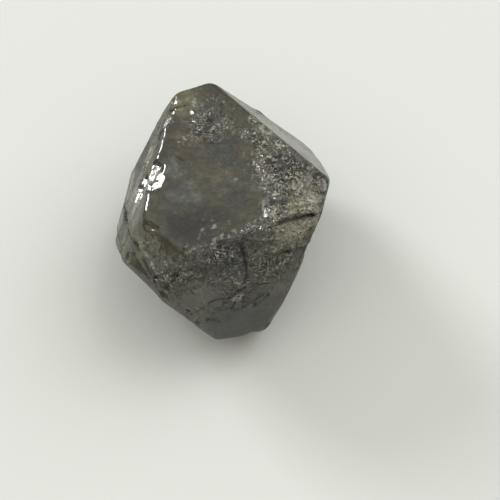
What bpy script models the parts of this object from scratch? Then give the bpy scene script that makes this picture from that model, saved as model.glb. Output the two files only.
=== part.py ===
"""Rough diamond: one natural crystal, grown in one piece, lying on one of its eight faces.

It is an octahedron that grew unevenly, with its six corners rounded off, stepped growth layers
along its edges, and ledges, cracks, pits and chips in its surface.

The tables are in millimetres and degrees, measured from the middle of the crystal, with +X to
the right, +Y to the back and +Z up. The finished mesh is in metres, with its origin on the
surface that the stone lies on, under the middle of its box.
"""

import math

import bmesh
import bpy
import numpy as np
from mathutils import Matrix, Vector, noise

MM = 0.001
NODE = "rough_diamond"

# The eight faces of the octahedron: azimuth that the face looks toward, counted from +X,
# slope of that direction above the horizon, and distance of the face from the middle.
FACES = {
    "top": (131.0, 88.2, 2.75),
    "base": (0.0, -90.0, 3.17),
    "back_right": (45.7, 30.0, 3.51),
    "left": (170.0, 22.2, 3.19),
    "front": (-68.9, 21.6, 3.49),
    "under_left": (-136.0, -24.8, 3.46),
    "under_right": (-12.5, -16.4, 2.93),
    "under_back": (104.9, -12.9, 3.22),
}

# The six corners, each rounded off by a small curved facet: the same three numbers.
CORNERS = {
    "back": (107.1, 35.3, 4.80),
    "right": (-12.9, 35.3, 4.44),
    "front_left": (-132.9, 35.3, 4.13),
    "front_foot": (-84.0, -35.3, 4.32),
    "left_foot": (167.1, -35.3, 3.53),
    "back_foot": (47.1, -35.3, 4.58),
}

# How far the rounding of an edge reaches: everywhere, and more around some places.
EDGE_ROUNDING = 0.045
SOFT_PLACES = (
    # (place, reach, rounding added there)
    ((-2.3, -2.9, 1.8), 1.6, 0.30),
    ((0.4, -2.9, 2.4), 1.5, 0.14),
    ((-1.0, 3.1, 2.0), 1.0, 0.16),
    ((1.8, -3.6, -1.4), 0.9, 0.16),
    ((3.4, -0.8, 1.4), 1.2, 0.14),
    ((-3.0, 1.2, -1.2), 1.5, 0.12),
    ((2.2, 2.6, -1.4), 1.6, 0.14),
    ((-2.0, 2.9, 2.3), 0.7, 0.12),
)

# The face that grew smooth, and the share of the relief that it takes.
CALM_FACE = "back_right"
CALM_SHARE = 0.2

# Growth layers: the steps that run along the edges of each face, strong around some places
# and all but missing where the stone is smooth.
LAYER_HEIGHT = 0.075
LAYER_REACH = 0.95
LAYER_DROP = 0.30
LAYER_WANDER = 0.10
RISER_SHARE = 0.22
LAYERS_EVERYWHERE = 0.12
LAYERED_PLACES = (
    # (place, reach, share added there)
    ((-2.7, 1.4, 1.6), 1.6, 0.20),
    ((2.4, -2.1, 2.3), 1.3, 0.7),
    ((-1.3, -3.7, 0.6), 1.3, 0.25),
    ((-2.6, -1.6, -1.8), 2.2, 0.9),
    ((2.6, -0.8, -1.8), 1.8, 0.9),
    ((-1.6, 2.9, -0.8), 2.2, 0.9),
    ((1.8, 2.6, -1.6), 2.0, 0.9),
    ((1.7, 1.9, 2.3), 1.9, -0.6),
)

# Ledges: a line on the surface whose right-hand side, walking from its first point to its last
# and seen from outside, lies lower. (points, height of the step, reach of the low side)
LEDGES = {
    "front_ridge": (
        (
            (-1.6, -3.5, 1.6), (-1.4, -3.3, 2.2), (-1.2, -3.1, 2.7), (-0.8, -2.8, 2.8),
            (-0.2, -2.7, 2.8), (0.5, -2.5, 2.8), (1.0, -2.4, 2.7),
        ),
        0.09, 0.9,
    ),
    "right_crack": (
        ((1.0, -2.4, 2.7), (1.6, -2.2, 2.8), (2.4, -1.9, 2.8), (3.0, -1.7, 2.8), (3.6, -1.3, 2.4)),
        0.05, 0.8,
    ),
    "lower_step": (
        ((-0.4, -3.8, 0.6), (0.5, -3.5, 0.5), (1.1, -3.2, 0.8), (1.8, -3.0, 0.6)),
        0.10, 1.0,
    ),
    "short_step": (((1.9, -2.5, 1.7), (2.4, -2.4, 1.6), (2.9, -2.2, 1.4)), 0.08, 0.7),
    "shoulder_step": (
        ((-1.9, 2.7, 2.6), (-1.3, 2.9, 2.7), (-0.6, 3.0, 2.7), (0.0, 2.6, 2.7), (0.1, 1.8, 2.7)),
        0.03, 0.8,
    ),
    "left_strip": (
        ((-1.9, 2.9, 2.1), (-2.3, 1.7, 2.0), (-2.6, 0.4, 2.0), (-2.9, -0.8, 2.0)),
        0.035, 0.6,
    ),
    "left_strip_low": (
        ((-2.2, 2.6, 1.4), (-2.8, 1.2, 1.2), (-3.1, 0.0, 1.1), (-3.2, -0.9, 1.0)),
        0.035, 0.7,
    ),
    "seam_shoulder": (
        (
            (-3.4, -0.3, 0.3), (-3.3, -1.0, 0.8), (-3.2, -1.7, 1.5), (-3.0, -2.3, 1.9),
            (-2.6, -2.8, 1.7), (-2.4, -3.1, 1.6), (-2.2, -3.4, 1.5),
        ),
        0.10, 0.8,
    ),
    "under_left_step": (
        ((-3.3, -0.9, -0.9), (-2.6, -2.0, -1.0), (-1.6, -3.0, -1.3), (-0.6, -3.7, -1.7)),
        0.12, 0.8,
    ),
    "under_right_step": (((2.9, -1.6, -0.6), (3.1, -0.4, -1.0), (3.1, 0.8, -0.7)), 0.12, 0.9),
    "back_step": (
        ((-1.6, 3.0, 0.6), (-0.6, 3.3, 0.1), (0.5, 3.3, 0.1), (1.2, 3.1, -0.2)),
        -0.12, 0.9,
    ),
    "back_low_step": (((-2.0, 2.6, -1.3), (-0.6, 3.0, -1.6), (0.8, 2.7, -1.5)), -0.10, 0.8),
}

# Cracks and seams: (points, depth, half width).
GROOVES = {
    "left_seam": (
        (
            (-3.6, 0.4, -0.4), (-3.4, -0.3, 0.3), (-3.3, -1.0, 0.8), (-3.2, -1.7, 1.5),
            (-3.0, -2.3, 1.9), (-2.9, -2.5, 1.8),
        ),
        0.15, 0.08,
    ),
    "right_crack": (
        ((1.5, -2.2, 2.8), (2.4, -1.9, 2.8), (3.0, -1.7, 2.8), (3.5, -1.4, 2.4)),
        0.14, 0.08,
    ),
    "lower_crack": (((0.3, -3.7, 0.4), (0.6, -3.5, 0.6), (0.9, -3.4, 0.7)), 0.16, 0.09),
    "front_slot": (((0.8, -2.6, 2.7), (0.8, -2.7, 2.5), (0.8, -2.8, 2.2)), 0.05, 0.06),
    "short_crack": (((2.2, -2.5, 1.6), (2.9, -2.2, 1.4)), 0.12, 0.08),
    "back_crack": (((-0.9, 3.2, 0.9), (-0.4, 3.2, 0.2), (-0.6, 3.1, -0.5)), 0.12, 0.09),
}

# Pits, chips and notches: (place, radius, depth).
DENTS = {
    "seam_pit_high": ((-2.55, -3.23, 1.36), 0.13, 0.14),
    "seam_pit": ((-2.30, -3.40, 1.41), 0.16, 0.18),
    "seam_pit_low": ((-2.20, -3.64, 1.27), 0.11, 0.12),
    "left_notch": ((-3.50, -1.85, 0.55), 0.26, 0.10),
    "right_notch": ((2.97, -2.02, 1.05), 0.24, 0.20),
    "edge_chip_back": ((1.22, 2.32, 2.70), 0.19, 0.09),
    "edge_chip": ((1.66, 1.86, 2.72), 0.22, 0.10),
    "edge_chip_front": ((2.22, 1.36, 2.70), 0.18, 0.09),
    "corner_chip": ((3.55, 0.75, 2.00), 0.22, 0.08),
    "foot_chip": ((1.00, -3.98, -1.60), 0.36, 0.20),
    "foot_chip_right": ((1.55, -3.80, -1.50), 0.30, 0.12),
    "lens_hollow": ((2.45, -0.70, 2.82), 0.45, 0.05),
    "under_pit": ((-1.9, -2.6, -1.6), 0.30, 0.12),
    "back_pit": ((1.5, 3.0, -0.3), 0.35, 0.14),
}

# Flat spots, where a chip came off along a cleavage plane: (place, azimuth and slope of the
# direction that the spot faces, depth, reach).
FLATS = {
    "left_shoulder": ((-2.37, -0.05, 2.68), (169.0, 64.0), 0.15, 0.70),
    "left_shoulder_low": ((-2.85, -0.05, 1.75), (170.0, 48.0), 0.12, 0.65),
    "left_low": ((-2.98, 0.00, 1.30), (169.0, 62.0), 0.10, 0.40),
    "front_shoulder": ((-2.45, -2.35, 2.45), (-150.0, 62.0), 0.04, 0.60),
    "right_corner": ((3.35, -0.35, 2.70), (-14.0, 58.0), 0.07, 0.45),
}

# Etched places, rough with small lumps and hollows: (place, reach, height of the lumps).
ETCHED = (
    ((0.2, -2.8, 2.1), 1.15, 0.080),
    ((2.5, -1.3, 2.7), 1.20, 0.050),
    ((-0.5, 1.9, 2.7), 0.60, 0.030),
    ((2.1, 0.9, 2.8), 0.80, 0.030),
    ((-3.0, 0.3, 1.6), 1.00, 0.025),
    ((-1.4, -3.6, 0.9), 0.90, 0.035),
    ((0.0, 3.2, -0.6), 1.30, 0.035),
)
LUMP_SIZE = 0.42
SWELL_SIZE = 2.4
SWELL_HEIGHT = 0.035

# Three-sided etch pits, which point against the triangle of the face they lie on.
TRIGONS = {
    "left": 4,
    "under_left": 8,
    "under_right": 8,
    "under_back": 9,
}
TRIGON_RADIUS = (0.12, 0.32)
TRIGON_DEPTH = 0.04
TRIGON_SPREAD = 1.7
TRIGON_SEED = 11

# The block that the planes cut, the even mesh that is shaped, and how many triangles stay.
BLANK_SIDE = 20.0
MESH_STEP = 0.07
TRIANGLES = 9400

# How much of the lowest face is cut off, so that it is truly flat.
BASE_SHAVE = 0.02

# Lines on the surface are compared with it on a ball of this radius around the middle.
BALL_RADIUS = 3.6
FAR = 99.0

GREY_OLIVE = (0.105, 0.102, 0.085, 1.0)
ROUGHNESS = 0.22
SHARP_ANGLE = 22.0


def clear_scene():
    for obj in list(bpy.data.objects):
        bpy.data.objects.remove(obj, do_unlink=True)


def outward(azimuth, slope):
    """The unit direction at an azimuth and a slope in degrees."""
    turn = math.radians(azimuth)
    rise = math.radians(slope)
    level = math.cos(rise)
    return np.array((math.cos(turn) * level, math.sin(turn) * level, math.sin(rise)))


def planes():
    """The outward normals and distances of all faces, corners included."""
    table = list(FACES.values()) + list(CORNERS.values())
    normals = np.array([outward(azimuth, slope) for azimuth, slope, _ in table])
    return normals, np.array([distance for _, _, distance in table])


def cut_off(mesh, place, normal):
    """Takes away what lies beyond a plane, and closes the cut."""
    everything = mesh.verts[:] + mesh.edges[:] + mesh.faces[:]
    bmesh.ops.bisect_plane(
        mesh, geom=everything, plane_co=Vector(place), plane_no=Vector(normal), clear_outer=True
    )
    bmesh.ops.holes_fill(mesh, edges=mesh.edges[:])


def cut_body(name, collection):
    """A cube cut by every plane, as a mesh object in millimetres."""
    mesh = bmesh.new()
    bmesh.ops.create_cube(mesh, size=BLANK_SIDE)
    for normal, distance in zip(*planes()):
        cut_off(mesh, normal * distance, normal)
    bmesh.ops.recalc_face_normals(mesh, faces=mesh.faces[:])
    data = bpy.data.meshes.new(name)
    mesh.to_mesh(data)
    mesh.free()
    obj = bpy.data.objects.new(name, data)
    collection.objects.link(obj)
    return obj


def bake_modifiers(obj):
    """Turns what the modifiers make into the object's own mesh."""
    graph = bpy.context.evaluated_depsgraph_get()
    made = bpy.data.meshes.new_from_object(obj.evaluated_get(graph))
    obj.modifiers.clear()
    obj.data = made


def points_of(obj):
    points = np.empty(len(obj.data.vertices) * 3, np.float32)
    obj.data.vertices.foreach_get("co", points)
    return points.reshape(-1, 3).astype(float)


def smooth_step(low, high, value):
    share = np.clip((value - low) / (high - low), 0.0, 1.0)
    return share * share * (3.0 - 2.0 * share)


def falloff(points, place, reach):
    """1 at the place, falling smoothly to almost 0 at twice the reach."""
    squared = ((points - np.array(place)) ** 2).sum(axis=1)
    return np.exp(-squared / (2.0 * (0.6 * reach) ** 2))


def grain(points, size, seed):
    """Smooth noise from about -1 to 1, with lumps of the given size."""
    shift = Vector((seed * 7.3, seed * 3.1, seed * 5.7))
    return np.array([noise.noise(Vector(point) / size + shift) for point in points])


def rounded_crystal(rays):
    """Where rays from the middle leave the crystal, which way it faces there, and how far each
    of those points lies beyond every plane.

    The crystal is the place where all planes meet, rounded by adding their distances softly.
    """
    normals, distances = planes()
    slant = rays @ normals.T
    hits = np.where(slant > 0.05, distances / np.maximum(slant, 0.05), FAR)
    reach = hits.min(axis=1)
    for _ in range(8):
        points = rays * reach[:, None]
        rounding = np.full(len(points), EDGE_ROUNDING)
        for place, spread, added in SOFT_PLACES:
            rounding += added * falloff(points, place, spread)
        clearance = points @ normals.T - distances
        most = clearance.max(axis=1)
        weights = np.exp((clearance - most[:, None]) / rounding[:, None])
        excess = most + rounding * np.log(weights.sum(axis=1))
        weights /= weights.sum(axis=1)[:, None]
        reach -= excess / np.maximum((weights * slant).sum(axis=1), 0.2)
    out = weights @ normals
    out /= np.linalg.norm(out, axis=1)[:, None]
    return rays * reach[:, None], out, clearance


def growth_layers(points, clearance):
    """The stepped edges: the surface drops in flat layers toward each edge of its face."""
    faces = clearance[:, : len(FACES)]
    order = np.sort(faces, axis=1)
    to_edge = (order[:, -1] - order[:, -2]) / 1.15
    wander = LAYER_WANDER * (grain(points, 1.1, 1) + 0.5 * grain(points, 0.45, 2))
    slope = LAYER_DROP * (1.0 - smooth_step(0.0, LAYER_REACH, to_edge + wander)) ** 1.5
    share = np.full(len(points), LAYERS_EVERYWHERE)
    for place, reach, added in LAYERED_PLACES:
        share += added * falloff(points, place, reach)
    steps = slope * np.clip(share, 0.0, 1.0) / LAYER_HEIGHT
    whole = np.floor(steps)
    return -LAYER_HEIGHT * (whole + smooth_step(1.0 - RISER_SHARE, 1.0, steps - whole))


def calm(clearance):
    """The share of the relief that each point takes: little on the smooth face, all elsewhere."""
    index = list(FACES).index(CALM_FACE)
    others = np.delete(clearance, index, axis=1).max(axis=1)
    return 1.0 - (1.0 - CALM_SHARE) * smooth_step(0.0, 0.15, clearance[:, index] - others)


def along(points, line):
    """How far each point is from a line of places, on which side of it, and how far along it.

    Both are laid out on a ball around the middle, so a place need not lie exactly on the surface.
    """
    spots = points / np.linalg.norm(points, axis=1)[:, None] * BALL_RADIUS
    knots = np.array(line) / np.linalg.norm(line, axis=1)[:, None] * BALL_RADIUS
    nearest = np.full(len(points), FAR)
    side = np.ones(len(points))
    share = np.zeros(len(points))
    for index, (start, end) in enumerate(zip(knots[:-1], knots[1:])):
        run = end - start
        spot = ((spots - start) @ run) / (run @ run)
        foot = start + np.clip(spot, 0.0, 1.0)[:, None] * run
        gap = np.linalg.norm(spots - foot, axis=1)
        closer = gap < nearest
        nearest = np.where(closer, gap, nearest)
        turn = np.sign((np.cross(run, spots - start) * spots).sum(axis=1))
        side = np.where(closer, turn, side)
        share = np.where(closer, (index + spot) / (len(knots) - 1), share)
    return nearest, side, share


def ledge(points, line, height, reach):
    """A step down on the right of the line, which fades out at its reach and at the line's ends."""
    near, side, share = along(points, line)
    distance = -near * side + 0.10 * grain(points, 0.5, 4)
    step = smooth_step(-0.05, 0.05, distance) * (1.0 - smooth_step(0.35 * reach, reach, distance))
    ends = smooth_step(-0.05, 0.08, share) * (1.0 - smooth_step(0.92, 1.05, share))
    return -height * step * ends


def groove(points, line, depth, half_width):
    """A V-shaped crack along the line."""
    near, _, share = along(points, line)
    near = near + 0.04 * grain(points, 0.35, 5)
    ends = smooth_step(-0.05, 0.12, share) * (1.0 - smooth_step(0.88, 1.05, share))
    return -depth * np.clip(1.0 - near / half_width, 0.0, 1.0) * ends


def dent(points, place, radius, depth):
    """A round hollow, deepest at the place."""
    gap = np.linalg.norm(points - np.array(place), axis=1) / radius
    return -depth * np.clip(1.0 - gap * gap, 0.0, 1.0)


def flat_spot(points, out, place, facing, depth, reach):
    """A slanting cut with a ragged rim, deepest at the place."""
    normal = outward(*facing)
    over = (points - np.array(place)) @ normal + depth + 0.04 * grain(points, 0.3, 17)
    gap = np.linalg.norm(points - np.array(place), axis=1) / reach
    cut = np.maximum(over, 0.0) * (1.0 - smooth_step(0.75, 1.0, gap))
    return -cut / np.maximum(out @ normal, 0.4)


def trigons(points, clearance):
    """Three-sided etch pits scattered over the faces, except on the one the stone lies on."""
    height = np.zeros(len(points))
    chance = np.random.default_rng(TRIGON_SEED)
    nearest_face = clearance.argmax(axis=1)
    for index, (name, (azimuth, slope, _)) in enumerate(FACES.items()):
        normal = outward(azimuth, slope)
        level = abs(slope) > 80.0
        first = np.cross((0.0, 1.0, 0.0) if level else (0.0, 0.0, 1.0), normal)
        first /= np.linalg.norm(first)
        second = np.cross(normal, first)
        flat = np.stack((points @ first, points @ second), axis=1)
        corner = math.pi / 2 if slope > 0 else -math.pi / 2
        sides = [corner + turn * 2.0 * math.pi / 3.0 for turn in range(3)]
        for _ in range(TRIGONS.get(name, 0)):
            middle = chance.uniform(-TRIGON_SPREAD, TRIGON_SPREAD, 2)
            radius = chance.uniform(*TRIGON_RADIUS)
            offset = flat - middle
            gap = np.max([offset @ (math.cos(side), math.sin(side)) for side in sides], axis=0)
            pit = TRIGON_DEPTH * np.clip((radius * 0.6 - gap) / (radius * 0.35), 0.0, 1.0)
            height -= np.where(nearest_face == index, pit, 0.0)
    return height


def relief(points, out, clearance):
    """How far each point of the surface stands out (or, below 0, lies deeper), in millimetres."""
    height = growth_layers(points, clearance) + trigons(points, clearance)
    for line, step, reach in LEDGES.values():
        height += ledge(points, line, step, reach)
    for line, depth, half_width in GROOVES.values():
        height += groove(points, line, depth, half_width)
    for place, radius, depth in DENTS.values():
        height += dent(points, place, radius, depth)
    for place, facing, depth, reach in FLATS.values():
        height += flat_spot(points, out, place, facing, depth, reach)
    lumps = grain(points, LUMP_SIZE, 6) + 0.5 * grain(points, LUMP_SIZE / 2, 7)
    for place, reach, lump in ETCHED:
        height += lump * lumps * falloff(points, place, reach)
    height += SWELL_HEIGHT * grain(points, SWELL_SIZE, 8)
    return height * calm(clearance)


def shape_surface(obj):
    """Moves the even mesh of the cut body onto the rounded crystal, and adds the relief."""
    start = points_of(obj)
    rays = start / np.linalg.norm(start, axis=1)[:, None]
    points, out, clearance = rounded_crystal(rays)
    points += out * relief(points, out, clearance)[:, None]
    obj.data.vertices.foreach_set("co", points.astype(np.float32).ravel())
    obj.data.update()


def flatten_base(obj):
    """Cuts the underside flat, so that the stone lies on one true face."""
    mesh = bmesh.new()
    mesh.from_mesh(obj.data)
    cut_off(mesh, (0.0, 0.0, BASE_SHAVE - FACES["base"][2]), (0.0, 0.0, -1.0))
    bmesh.ops.triangulate(mesh, faces=mesh.faces[:])
    mesh.to_mesh(obj.data)
    mesh.free()


def stand_on_origin(obj):
    """Centres the stone's box over the origin, its lowest point at height 0, and brings it to metres."""
    points = points_of(obj)
    low, high = points.min(axis=0), points.max(axis=0)
    middle = (low + high) / 2.0
    obj.data.transform(Matrix.Translation((-middle[0], -middle[1], -low[2])))
    obj.data.transform(Matrix.Scale(MM, 4))


def diamond_material():
    material = bpy.data.materials.new("rough_diamond_grey")
    material.use_nodes = True
    shader = material.node_tree.nodes["Principled BSDF"]
    shader.inputs["Base Color"].default_value = GREY_OLIVE
    shader.inputs["Roughness"].default_value = ROUGHNESS
    shader.inputs["Metallic"].default_value = 0.0
    return material


def make_diamond(collection):
    obj = cut_body(NODE, collection)
    remesh = obj.modifiers.new("even_mesh", "REMESH")
    remesh.mode = "VOXEL"
    remesh.voxel_size = MESH_STEP
    bake_modifiers(obj)
    shape_surface(obj)
    decimate = obj.modifiers.new("fewer_triangles", "DECIMATE")
    decimate.ratio = TRIANGLES / sum(len(face.vertices) - 2 for face in obj.data.polygons)
    bake_modifiers(obj)
    flatten_base(obj)
    stand_on_origin(obj)
    obj.data.materials.append(diamond_material())
    obj.data.shade_smooth()
    obj.data.set_sharp_from_angle(angle=math.radians(SHARP_ANGLE))


def main():
    clear_scene()
    collection = bpy.data.collections.new("rough_diamond_part")
    bpy.context.scene.collection.children.link(collection)
    make_diamond(collection)


main()
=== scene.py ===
"""The looks of the rough diamond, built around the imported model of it.

The crystal is modelled again on a finer mesh, in the same place and with the same faces, ledges
and cracks, and gets the fine relief and the see-through material that the plain solid lacks. It
lies on a plain pale floor in soft studio light.

The tables are in millimetres and degrees, measured from the middle of the crystal, with +X to
the right, +Y to the back and +Z up. Everything in the scene is in metres.
"""

import math

import bmesh
import bpy
import numpy as np
from bpy.props import FloatProperty, FloatVectorProperty, PointerProperty
from mathutils import Matrix, Vector, noise


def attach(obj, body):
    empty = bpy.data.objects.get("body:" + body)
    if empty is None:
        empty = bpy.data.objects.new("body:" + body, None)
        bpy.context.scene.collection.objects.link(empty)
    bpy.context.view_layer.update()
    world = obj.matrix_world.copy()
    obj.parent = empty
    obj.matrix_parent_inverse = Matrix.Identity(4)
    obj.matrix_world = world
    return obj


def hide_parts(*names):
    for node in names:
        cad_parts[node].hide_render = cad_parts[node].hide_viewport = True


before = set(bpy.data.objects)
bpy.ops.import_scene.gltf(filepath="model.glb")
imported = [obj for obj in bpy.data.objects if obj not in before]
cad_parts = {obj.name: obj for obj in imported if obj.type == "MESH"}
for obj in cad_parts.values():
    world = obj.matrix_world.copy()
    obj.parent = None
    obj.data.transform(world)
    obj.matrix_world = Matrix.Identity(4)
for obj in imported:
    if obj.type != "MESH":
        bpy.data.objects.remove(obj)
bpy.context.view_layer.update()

bl_info = {
    "name": "Rough diamond",
    "version": (1, 0, 0),
    "blender": (4, 5, 0),
    "location": "3D View > Sidebar > Rough diamond",
    "description": "Makes a rough diamond crystal and the plain studio that it lies in",
    "category": "Add Mesh",
}

NODE = "rough_diamond"
MM = 0.001

# Where the middle of the crystal lies: above the origin, which is under the middle of its box.
MIDDLE = (0.045, 0.288, 3.150)

# The eight faces of the octahedron: azimuth that the face looks toward, counted from +X,
# slope of that direction above the horizon, and distance of the face from the middle.
FACES = {
    "top": (131.0, 88.2, 2.75),
    "base": (0.0, -90.0, 3.17),
    "back_right": (45.7, 30.0, 3.51),
    "left": (170.0, 22.2, 3.19),
    "front": (-68.9, 21.6, 3.49),
    "under_left": (-136.0, -24.8, 3.46),
    "under_right": (-12.5, -16.4, 2.93),
    "under_back": (104.9, -12.9, 3.22),
}

# The six corners, each rounded off by a small curved facet: the same three numbers.
CORNERS = {
    "back": (107.1, 35.3, 4.8),
    "right": (-12.9, 35.3, 4.44),
    "front_left": (-132.9, 35.3, 4.13),
    "front_foot": (-84.0, -35.3, 4.32),
    "left_foot": (167.1, -35.3, 3.53),
    "back_foot": (47.1, -35.3, 4.58),
}

# How far the rounding of an edge reaches: everywhere, and more around some places.
EDGE_ROUNDING = 0.045
SOFT_PLACES = (
    # (place, reach, rounding added there)
    ((-2.3, -2.9, 1.8), 1.6, 0.3),
    ((0.4, -2.9, 2.4), 1.5, 0.14),
    ((-1.0, 3.1, 2.0), 1.0, 0.16),
    ((1.8, -3.6, -1.4), 0.9, 0.16),
    ((3.4, -0.8, 1.4), 1.2, 0.14),
    ((-3.0, 1.2, -1.2), 1.5, 0.12),
    ((2.2, 2.6, -1.4), 1.6, 0.14),
    ((-2.0, 2.9, 2.3), 0.7, 0.12),
)

# The face that grew smooth, the share of the relief that it takes, and the width of its border.
CALM_FACE = "back_right"
CALM_SHARE = 0.2
CALM_BORDER = 0.15

# Growth layers: the steps that run along the edges of each face, strong around some places
# and all but missing where the stone is smooth.
LAYER_HEIGHT = 0.075
LAYER_REACH = 0.95
LAYER_DROP = 0.30
LAYER_WANDER = 0.10
RISER_SHARE = 0.22
LAYERS_EVERYWHERE = 0.12
LAYERED_PLACES = (
    # (place, reach, share added there)
    ((-2.7, 1.4, 1.6), 1.6, 0.2),
    ((2.4, -2.1, 2.3), 1.3, 0.7),
    ((-1.3, -3.7, 0.6), 1.3, 0.25),
    ((-2.6, -1.6, -1.8), 2.2, 0.9),
    ((2.6, -0.8, -1.8), 1.8, 0.9),
    ((-1.6, 2.9, -0.8), 2.2, 0.9),
    ((1.8, 2.6, -1.6), 2.0, 0.9),
    ((1.7, 1.9, 2.3), 1.9, -0.6),
)

# Ledges: a line on the surface whose right-hand side, walking from its first point to its last
# and seen from outside, lies lower: (points, height of the step, reach of the low side).
LEDGES = {
    "front_ridge": (
        ((-1.6, -3.5, 1.6), (-1.4, -3.3, 2.2), (-1.2, -3.1, 2.7), (-0.8, -2.8, 2.8),
         (-0.2, -2.7, 2.8), (0.5, -2.5, 2.8), (1.0, -2.4, 2.7)),
        0.09, 0.9,
    ),
    "right_crack": (
        ((1.0, -2.4, 2.7), (1.6, -2.2, 2.8), (2.4, -1.9, 2.8), (3.0, -1.7, 2.8), (3.6, -1.3, 2.4)),
        0.05, 0.8,
    ),
    "lower_step":
        (((-0.4, -3.8, 0.6), (0.5, -3.5, 0.5), (1.1, -3.2, 0.8), (1.8, -3.0, 0.6)), 0.1, 1.0),
    "short_step": (((1.9, -2.5, 1.7), (2.4, -2.4, 1.6), (2.9, -2.2, 1.4)), 0.08, 0.7),
    "shoulder_step": (
        ((-1.9, 2.7, 2.6), (-1.3, 2.9, 2.7), (-0.6, 3.0, 2.7), (0.0, 2.6, 2.7), (0.1, 1.8, 2.7)),
        0.03, 0.8,
    ),
    "left_strip":
        (((-1.9, 2.9, 2.1), (-2.3, 1.7, 2.0), (-2.6, 0.4, 2.0), (-2.9, -0.8, 2.0)), 0.035, 0.6),
    "left_strip_low":
        (((-2.2, 2.6, 1.4), (-2.8, 1.2, 1.2), (-3.1, 0.0, 1.1), (-3.2, -0.9, 1.0)), 0.035, 0.7),
    "seam_shoulder": (
        ((-3.4, -0.3, 0.3), (-3.3, -1.0, 0.8), (-3.2, -1.7, 1.5), (-3.0, -2.3, 1.9),
         (-2.6, -2.8, 1.7), (-2.4, -3.1, 1.6), (-2.2, -3.4, 1.5)),
        0.1, 0.8,
    ),
    "under_left_step": (
        ((-3.3, -0.9, -0.9), (-2.6, -2.0, -1.0), (-1.6, -3.0, -1.3), (-0.6, -3.7, -1.7)),
        0.12, 0.8,
    ),
    "under_right_step": (((2.9, -1.6, -0.6), (3.1, -0.4, -1.0), (3.1, 0.8, -0.7)), 0.12, 0.9),
    "back_step":
        (((-1.6, 3.0, 0.6), (-0.6, 3.3, 0.1), (0.5, 3.3, 0.1), (1.2, 3.1, -0.2)), -0.12, 0.9),
    "back_low_step": (((-2.0, 2.6, -1.3), (-0.6, 3.0, -1.6), (0.8, 2.7, -1.5)), -0.1, 0.8),
}
# How far it wobbles, half the width of its riser, the share of its reach that stays low.
LEDGE_WOBBLE = 0.10
RISER_HALF_WIDTH = 0.05
LOW_SIDE_FLAT = 0.35

# Cracks and seams: (points, depth, half width).
GROOVES = {
    "left_seam": (
        ((-3.6, 0.4, -0.4), (-3.4, -0.3, 0.3), (-3.3, -1.0, 0.8), (-3.2, -1.7, 1.5),
         (-3.0, -2.3, 1.9), (-2.9, -2.5, 1.8)),
        0.15, 0.08,
    ),
    "right_crack":
        (((1.5, -2.2, 2.8), (2.4, -1.9, 2.8), (3.0, -1.7, 2.8), (3.5, -1.4, 2.4)), 0.14, 0.08),
    "lower_crack": (((0.3, -3.7, 0.4), (0.6, -3.5, 0.6), (0.9, -3.4, 0.7)), 0.16, 0.09),
    "front_slot": (((0.8, -2.6, 2.7), (0.8, -2.7, 2.5), (0.8, -2.8, 2.2)), 0.05, 0.06),
    "short_crack": (((2.2, -2.5, 1.6), (2.9, -2.2, 1.4)), 0.12, 0.08),
    "back_crack": (((-0.9, 3.2, 0.9), (-0.4, 3.2, 0.2), (-0.6, 3.1, -0.5)), 0.12, 0.09),
}
GROOVE_WOBBLE = 0.04

# Pits, chips and notches: (place, radius, depth).
DENTS = {
    "seam_pit_high": ((-2.55, -3.23, 1.36), 0.13, 0.14),
    "seam_pit": ((-2.3, -3.4, 1.41), 0.16, 0.18),
    "seam_pit_low": ((-2.2, -3.64, 1.27), 0.11, 0.12),
    "left_notch": ((-3.5, -1.85, 0.55), 0.26, 0.1),
    "right_notch": ((2.97, -2.02, 1.05), 0.24, 0.2),
    "edge_chip_back": ((1.22, 2.32, 2.7), 0.19, 0.09),
    "edge_chip": ((1.66, 1.86, 2.72), 0.22, 0.1),
    "edge_chip_front": ((2.22, 1.36, 2.7), 0.18, 0.09),
    "corner_chip": ((3.55, 0.75, 2.0), 0.22, 0.08),
    "foot_chip": ((1.0, -3.98, -1.6), 0.36, 0.2),
    "foot_chip_right": ((1.55, -3.8, -1.5), 0.3, 0.12),
    "lens_hollow": ((2.45, -0.7, 2.82), 0.45, 0.05),
    "under_pit": ((-1.9, -2.6, -1.6), 0.3, 0.12),
    "back_pit": ((1.5, 3.0, -0.3), 0.35, 0.14),
}

# Flat spots, where a chip came off along a cleavage plane: (place, azimuth and slope of the
# direction that the spot faces, depth, reach).
FLATS = {
    "left_shoulder": ((-2.37, -0.05, 2.68), (169.0, 64.0), 0.15, 0.7),
    "left_shoulder_low": ((-2.85, -0.05, 1.75), (170.0, 48.0), 0.12, 0.65),
    "left_low": ((-2.98, 0.0, 1.3), (169.0, 62.0), 0.1, 0.4),
    "front_shoulder": ((-2.45, -2.35, 2.45), (-150.0, 62.0), 0.04, 0.6),
    "right_corner": ((3.35, -0.35, 2.7), (-14.0, 58.0), 0.07, 0.45),
}
# How uneven it is, and the share of its reach where the rim begins.
FLAT_WOBBLE = 0.04
FLAT_RIM = 0.75

# Etched places, rough with small lumps and hollows: (place, reach, height of the lumps).
ETCHED = (
    ((0.2, -2.8, 2.1), 1.15, 0.08),
    ((2.5, -1.3, 2.7), 1.2, 0.05),
    ((-0.5, 1.9, 2.7), 0.6, 0.03),
    ((2.1, 0.9, 2.8), 0.8, 0.03),
    ((-3.0, 0.3, 1.6), 1.0, 0.025),
    ((-1.4, -3.6, 0.9), 0.9, 0.035),
    ((0.0, 3.2, -0.6), 1.3, 0.035),
)
SWELL_HEIGHT = 0.035

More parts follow.
